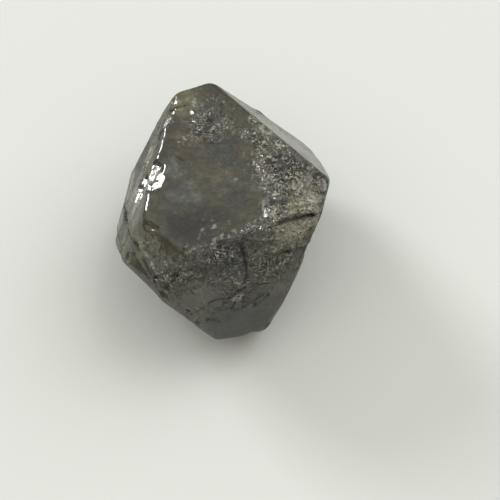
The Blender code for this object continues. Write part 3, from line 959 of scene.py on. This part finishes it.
# Noise in the material: (size of its lumps in millimetres, detail, roughness, bend, seed).
CLOUDS = {
    "body": (1.1, 5.0, 0.6, 0.6, 0.0),
    "wobble": (0.6, 4.0, 0.65, 0.0, 0.0),
    "bend": (0.3, 3.0, 0.6, 0.0, 0.0),
    "specks": (0.1, 2.0, 0.6, 0.0, 7.0),
    "swirl": (0.26, 1.0, 0.5, 0.8, 12.0),
    "chosen": (0.45, 3.0, 0.6, 0.0, 31.0),
    "mottle": (0.3, 3.0, 0.6, 0.0, 9.0),
    "broad": (0.75, 3.0, 0.6, 1.0, 19.0),
    "dashes": (0.16, 2.0, 0.6, 0.0, 37.0),
    "broken": (0.08, 2.0, 0.6, 0.0, 41.0),
    "haze": (0.5, 4.0, 0.6, 0.0, 0.0),
}

# How values are spread: (low and high value, what they become if not 0 and 1).
RANGES = {
    "body": (0.35, 0.65),
    "specks": (0.62, 0.7),
    "chosen": (0.36, 0.5),
    "mottle": (0.34, 0.66, 0.82, 1.18),
    "broad": (0.35, 0.65, 0.8, 1.2),
    "dashes": (0.36, 0.5),
    "broken": (0.44, 0.56, 0.0, 1.1),
    "valley_shade": (0.05, 0.22, 1.0, 0.0),
    "crests": (0.28, 0.42),
    "tones": (0.3, 1.7, 0.45, 1.75),
}

# The etch marks: size of the cells and width of the lines between them, how far all are bent,
# turns of the waves, and size of the ridges.
WIDE_CELLS = (0.44, 0.03)
SMALL_CELLS = (0.17, 0.06)
BEND = 0.22
WAVE_TURNS = 5.0
RIDGE_SIZE = 0.24

# How dark lines and marks are, painted shade low between the waves among the marks, what they
# take from colour and gloss, and how strongly the cells differ in tone at the least.
LINE_DARKNESS = 0.35
MARK_DARKNESS = 0.95
DARK_LOSS = 0.85
GLOSS_LOSS = 0.45
LEAST_TONE = 0.36
# Colour of the painted glints.
GLINT_PAINT_COLOUR = "#fbf7e2"

# What haze and etch marks add to the roughness.
HAZE_ROUGHNESS = 0.20
HAZE_START = -0.05
ETCHED_ROUGHNESS = 0.22

# How steeply cells tilt, and how high lines, ridges, waves and steps stand, in millimetres. Of
# the first four, smooth places take a small share and etched ones more.
WIDE_TILT = 0.35
SMALL_TILT = 0.50
LINE_HEIGHT = -0.012
RIDGE_HEIGHT = 0.016
SMOOTH_SHARE = 0.06
ETCHED_SHARE = 0.47
WAVE_HEIGHT = 0.060
STEP_HEIGHT = 0.022
STEP_WOBBLE = 2.0


def body_colour(tree, place, settings):
    """Clouded olive and grey, with the patches laid over it, some of them painted highlight and
    reflection.
    """
    colour = blend(tree, spread_cloud(tree, place, "body"), settings.olive, settings.grey)
    wobble = cloud(tree, place, "wobble", "Color")
    wandering = vectors(tree, "MULTIPLY_ADD", wobble, [PATCH_WANDER] * 3, place)
    start, end = PATCH_BORDER
    for spot, reach, tone, strength in PATCHES.values():
        middle = [axis + PATCH_WANDER / 2 for axis in spot]
        gap = vectors(tree, "DISTANCE", wandering, middle, output="Value")
        patch = span(tree, gap, start * reach, end * reach, strength, 0.0)
        colour = blend(tree, patch, colour, linear_colour(tone))
    return colour


def diamond_material(settings):
    """Natural diamond, as it grew and was etched.

    The high refraction gives smooth faces an almost metallic gloss. The body is clouded, so
    part of the light scatters back olive and grey, and the rest goes through and is absorbed.
    Some glints, highlights, reflections and shade in hollows are painted into its colour.
    """
    material = bpy.data.materials.new("natural_diamond_etched")
    tree = empty_tree(material)
    metres = add(tree, "ShaderNodeTexCoord").outputs["Object"]
    from_middle = [-axis for axis in MIDDLE]
    place = vectors(tree, "MULTIPLY_ADD", metres, [1.0 / MM] * 3, from_middle)
    etched, cracks_and_shade, lined, edge, glint_paint = [
        add(tree, "ShaderNodeAttribute", attribute_name=name).outputs["Fac"]
        for name in ("etched", "cracks_and_shade", "lined", "edge", "glint_paint")
    ]
    colour = body_colour(tree, place, settings)
    bending = cloud(tree, place, "bend", "Color")
    bent = vectors(tree, "MULTIPLY_ADD", bending, [BEND] * 3, place)

    # Dark lines and specks, shade painted low between the waves, and dark cracks with shade
    # painted in pits and hollows.
    wide_lines, wide_height, wide_tone = mosaic(tree, bent, *WIDE_CELLS)
    small_lines, small_height, small_tone = mosaic(tree, bent, *SMALL_CELLS)
    lines = multiply(tree, combine(tree, "MAXIMUM", wide_lines, small_lines), etched)
    specks = multiply(tree, spread_cloud(tree, place, "specks"), etched)
    dark = combine(tree, "MAXIMUM", multiply(tree, lines, LINE_DARKNESS), specks)
    swirl = multiply(tree, cloud(tree, bent, "swirl"), WAVE_TURNS)
    wave = combine(tree, "PINGPONG", swirl, 0.5)
    chosen = multiply(tree, spread_cloud(tree, place, "chosen"), etched)
    valley_shade = multiply(tree, span(tree, wave, *RANGES["valley_shade"]), chosen)
    dark = multiply(tree, combine(tree, "MAXIMUM", dark, valley_shade), MARK_DARKNESS)
    dark = combine(tree, "MAXIMUM", dark, cracks_and_shade)

    # How they, the mottling and the tones of the cells change the colour.
    mottle = spread_cloud(tree, place, "mottle")
    mottle = multiply(tree, mottle, spread_cloud(tree, place, "broad"))
    left = multiply(tree, scale_add(tree, dark, -DARK_LOSS, 1.0), mottle)
    tones = span(tree, combine(tree, "ADD", wide_tone, small_tone), *RANGES["tones"])
    toned = combine(tree, "MAXIMUM", etched, LEAST_TONE)
    left = multiply(tree, left, blend(tree, toned, 1.0, tones, "FLOAT"))
    colour = blend(tree, 1.0, colour, left, blend_type="MULTIPLY")

    # Glints painted on crests and along broken edges and streaks, but not in cracks.
    crests = multiply(tree, span(tree, wave, *RANGES["crests"]), chosen)
    painted_glints = multiply(tree, crests, spread_cloud(tree, place, "dashes"))
    broken = spread_cloud(tree, place, "broken")
    painted_glints = scale_add(tree, broken, glint_paint, painted_glints)
    painted_glints = multiply(tree, painted_glints, combine(tree, "SUBTRACT", 1.0, cracks_and_shade))
    colour = blend(tree, painted_glints, colour, linear_colour(GLINT_PAINT_COLOUR))

    # Roughness.
    haze = cloud(tree, place, "haze")
    least = settings.gloss_roughness + HAZE_START
    roughness = scale_add(tree, haze, HAZE_ROUGHNESS, least)
    roughness = scale_add(tree, etched, ETCHED_ROUGHNESS, roughness)

    # Height of the marks.
    ridges = add(
        tree, "ShaderNodeTexNoise",
        {"Vector": bent, "Scale": 1.0 / RIDGE_SIZE, "Detail": 2.0, "Roughness": 0.6, "Distortion": 1.0},
        noise_type="RIDGED_MULTIFRACTAL", normalize=True,
    ).outputs["Fac"]
    height = multiply(tree, wide_height, WIDE_TILT)
    height = scale_add(tree, small_height, SMALL_TILT, height)
    height = scale_add(tree, lines, LINE_HEIGHT, height)
    height = scale_add(tree, ridges, RIDGE_HEIGHT, height)
    share = scale_add(tree, etched, ETCHED_SHARE, SMOOTH_SHARE)
    height = multiply(tree, height, share)
    waves = multiply(tree, wave, chosen)
    height = scale_add(tree, waves, WAVE_HEIGHT, height)
    steps = combine(tree, "DIVIDE", edge, LINE_SPACING / 2)
    steps = scale_add(tree, haze, STEP_WOBBLE, steps)
    steps = multiply(tree, combine(tree, "FRACT", steps), lined)
    height = scale_add(tree, steps, STEP_HEIGHT, height)
    bump = add(tree, "ShaderNodeBump", {"Distance": MM, "Height": height})

    shader = add(
        tree, "ShaderNodeBsdfPrincipled",
        {
            "Base Color": colour,
            "Roughness": roughness,
            "IOR": settings.ior,
            "Specular IOR Level": scale_add(tree, dark, -GLOSS_LOSS, 0.5),
            "Transmission Weight": settings.clearness,
            "Normal": bump.outputs["Normal"],
        },
    ).outputs["BSDF"]
    inside = add(
        tree, "ShaderNodeVolumeAbsorption",
        {"Color": settings.absorbed_tint, "Density": settings.absorption},
    ).outputs["Volume"]
    add(tree, "ShaderNodeOutputMaterial", {"Surface": shader, "Volume": inside})
    return material


def make_crystal(settings):
    """The crystal as a fine mesh, in the place of the plain solid."""
    obj = cut_body("rough_diamond_crystal")
    remesh = obj.modifiers.new("even_mesh", "REMESH")
    remesh.mode = "VOXEL"
    remesh.voxel_size = settings.mesh_step / MM
    bake_modifiers(obj)
    shape_surface(obj, settings)
    obj.data.transform(Matrix.Translation(MIDDLE))
    obj.data.transform(Matrix.Scale(MM, 4))
    obj.data.shade_smooth()
    obj.data.materials.clear()
    obj.data.materials.append(diamond_material(settings))
    return obj


def make_floor(settings):
    """Matt white paper, pressed smooth: it gives the eye an even pale ground without shine."""
    mesh = bmesh.new()
    bmesh.ops.create_circle(mesh, cap_ends=True, segments=96, radius=settings.floor_radius)
    data = bpy.data.meshes.new("floor")
    mesh.to_mesh(data)
    mesh.free()
    material = bpy.data.materials.new("matt_white_paper")
    tree = empty_tree(material)
    shader = add(
        tree, "ShaderNodeBsdfPrincipled",
        {"Base Color": settings.floor_colour, "Roughness": 0.9, "Specular IOR Level": 0.15},
    )
    add(tree, "ShaderNodeOutputMaterial", {"Surface": shader.outputs["BSDF"]})
    data.materials.append(material)
    return new_object("floor", data)


# How bright the room is above and behind the crystal, as a share of above and in front, where
# front turns into back and low into above, and the tones of both sides.
OVERHEAD_BACK_SHARE = 0.74
BEHIND_RANGE = (-0.55, 0.45)
ABOVE_RANGE = (0.30, 0.85)
FRONT_TONE = "#fffcf6"
BACK_TONE = "#fcfcf9"


def make_room(settings):
    """The room around the stage: dim low down, bright overhead, a little warmer in front."""
    world = bpy.data.worlds.new("pale_room")
    tree = empty_tree(world)
    direction = add(tree, "ShaderNodeTexCoord").outputs["Generated"]
    axes = add(tree, "ShaderNodeSeparateXYZ", {"Vector": direction})
    behind = span(tree, axes.outputs["Y"], *BEHIND_RANGE)
    above = span(tree, axes.outputs["Z"], *ABOVE_RANGE)
    low = span(tree, behind, 0.0, 1.0, settings.front_level, settings.back_level)
    high = span(
        tree, behind, 0.0, 1.0, settings.zenith_level, OVERHEAD_BACK_SHARE * settings.zenith_level
    )
    level = blend(tree, above, low, high, "FLOAT")
    tone = blend(tree, behind, linear_colour(FRONT_TONE), linear_colour(BACK_TONE))
    light = add(tree, "ShaderNodeBackground", {"Color": tone, "Strength": level})
    add(tree, "ShaderNodeOutputWorld", {"Surface": light.outputs["Background"]})
    bpy.context.scene.world = world


# The soft lights: azimuth and slope of the direction they come from, and side in metres. Then
# how far they stand from the crystal, in metres, and their colour.
LIGHTS = {"window": (140.0, 28.0, 0.17), "fill": (27.0, 50.0, 0.46)}
LIGHT_DISTANCE = 0.50
LIGHT_COLOUR = "#fbfcff"


def make_light(name, power):
    """The named soft light, which faces the crystal and is hidden from the camera."""
    azimuth, slope, side = LIGHTS[name]
    light = bpy.data.lights.new(name, "AREA")
    light.shape = "RECTANGLE"
    light.size = side
    light.size_y = side
    light.energy = power
    light.color = linear_colour(LIGHT_COLOUR)[:3]
    obj = new_object(name, light)
    toward = Vector(outward(azimuth, slope))
    obj.location = toward * LIGHT_DISTANCE
    obj.rotation_mode = "QUATERNION"
    obj.rotation_quaternion = toward.to_track_quat("Z", "Y")
    obj.visible_camera = False


# The photo is 500 pixels wide, and the middle of the crystal shows at this pixel of it.
PHOTO_SIDE = 500
MIDDLE_PIXEL = (222, 212)


def make_camera(settings):
    """A camera that looks down from the front, at the angle of the photo."""
    camera = bpy.data.cameras.new("camera")
    camera.sensor_width = 36.0
    camera.lens = settings.lens
    camera.clip_start = 1.0 * MM
    camera.clip_end = 2.0
    obj = new_object("camera", camera)
    sine = math.sin(settings.elevation)
    cosine = math.cos(settings.elevation)
    right = Vector((1.0, 0.0, 0.0))
    up = Vector((0.0, sine, cosine))
    back = Vector((0.0, -cosine, sine))
    pixel = settings.distance * camera.sensor_width / camera.lens / PHOTO_SIDE
    place = Vector(MIDDLE) * MM + back * settings.distance
    place += right * (PHOTO_SIDE / 2 - MIDDLE_PIXEL[0]) * pixel
    place -= up * (PHOTO_SIDE / 2 - MIDDLE_PIXEL[1]) * pixel
    obj.matrix_world = Matrix(
        [(right[axis], up[axis], back[axis], place[axis]) for axis in range(3)] + [(0, 0, 0, 1)]
    )
    bpy.context.scene.camera = obj


class DIAMOND_OT_crystal(bpy.types.Operator):
    """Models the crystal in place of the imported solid"""

    bl_idname = "diamond.make_crystal"
    bl_label = "Make crystal"

    def execute(self, context):
        obj = make_crystal(context.scene.rough_diamond)
        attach(obj, "root")
        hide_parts(NODE)
        return {"FINISHED"}


class DIAMOND_OT_stage(bpy.types.Operator):
    """Makes the floor, the room, the lights and the camera"""

    bl_idname = "diamond.make_stage"
    bl_label = "Make stage"

    def execute(self, context):
        settings = context.scene.diamond_stage
        make_floor(settings)
        make_room(settings)
        make_light("window", settings.window_power)
        make_light("fill", settings.fill_power)
        make_camera(settings)
        context.scene.view_settings.view_transform = "Standard"
        context.scene.view_settings.gamma = settings.print_gamma
        return {"FINISHED"}


class DIAMOND_PT_panel(bpy.types.Panel):
    """Lists the settings and the operators"""

    bl_label = "Rough diamond"
    bl_space_type = "VIEW_3D"
    bl_region_type = "UI"
    bl_category = "Rough diamond"

    def draw(self, context):
        for group, operator in (
            (context.scene.rough_diamond, DIAMOND_OT_crystal),
            (context.scene.diamond_stage, DIAMOND_OT_stage),
        ):
            box = self.layout.box()
            for name in group.bl_rna.properties.keys():
                if name not in ("rna_type", "name"):
                    box.prop(group, name)
            box.operator(operator.bl_idname)


CLASSES = (
    CrystalSettings, StageSettings, DIAMOND_OT_crystal, DIAMOND_OT_stage, DIAMOND_PT_panel
)


def register():
    for one in CLASSES:
        bpy.utils.register_class(one)
    bpy.types.Scene.rough_diamond = PointerProperty(type=CrystalSettings)
    bpy.types.Scene.diamond_stage = PointerProperty(type=StageSettings)


def unregister():
    del bpy.types.Scene.diamond_stage
    del bpy.types.Scene.rough_diamond
    for one in reversed(CLASSES):
        bpy.utils.unregister_class(one)


def main():
    register()
    bpy.ops.diamond.make_crystal()
    bpy.ops.diamond.make_stage()


if __name__ == "__main__":
    main()
